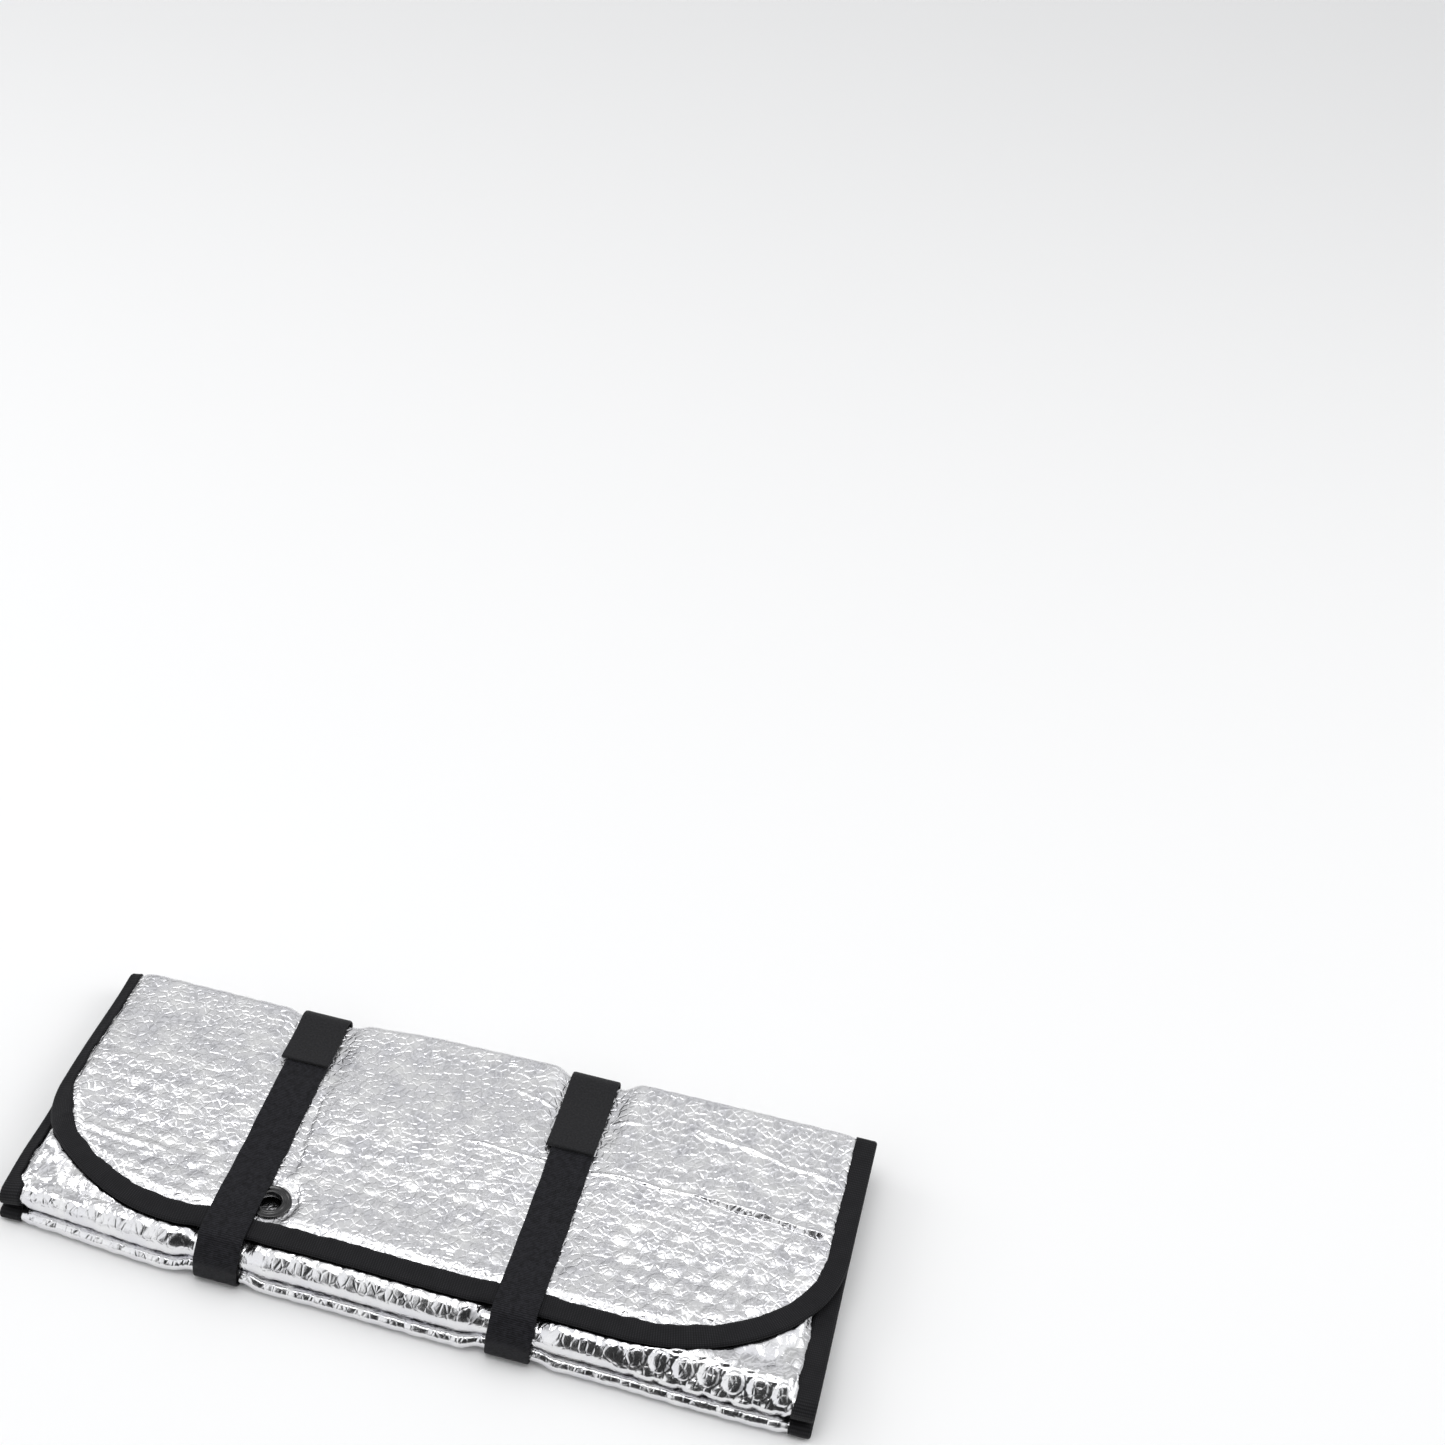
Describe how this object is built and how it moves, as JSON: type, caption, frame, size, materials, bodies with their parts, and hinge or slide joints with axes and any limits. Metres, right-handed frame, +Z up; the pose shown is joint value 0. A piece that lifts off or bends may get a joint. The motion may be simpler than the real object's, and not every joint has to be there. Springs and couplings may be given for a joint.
{
  "type": "air conditioner cover, folded",
  "caption": "Folded bubble-foil top cover for an outdoor air conditioning unit: taped edge, round-cornered flap, eyelet, and webbing straps with hook-and-loop tabs.",
  "frame": {"origin": "middle of the bundle's base, on the surface it lies on", "axes": "+X along the bundle from left to right, +Y from the open front to the back folds, +Z up"},
  "size_m": [0.4556, 0.1846, 0.0316],
  "materials": {
    "foil": "bright crinkled foil over bubbles",
    "tape": "woven edging tape, matt",
    "webbing": "ribbed webbing, matt",
    "hook_and_loop": "hook-and-loop strip, matt",
    "black_plastic": "moulded, glossy"
  },
  "bodies": {
    "root": {"foil_sheet": "foil", "edge_binding": "tape", "strap_left": "webbing", "strap_right": "webbing", "tab_left": "hook_and_loop", "tab_right": "hook_and_loop", "eyelet_ring": "black_plastic"}
  },
  "joints": []
}
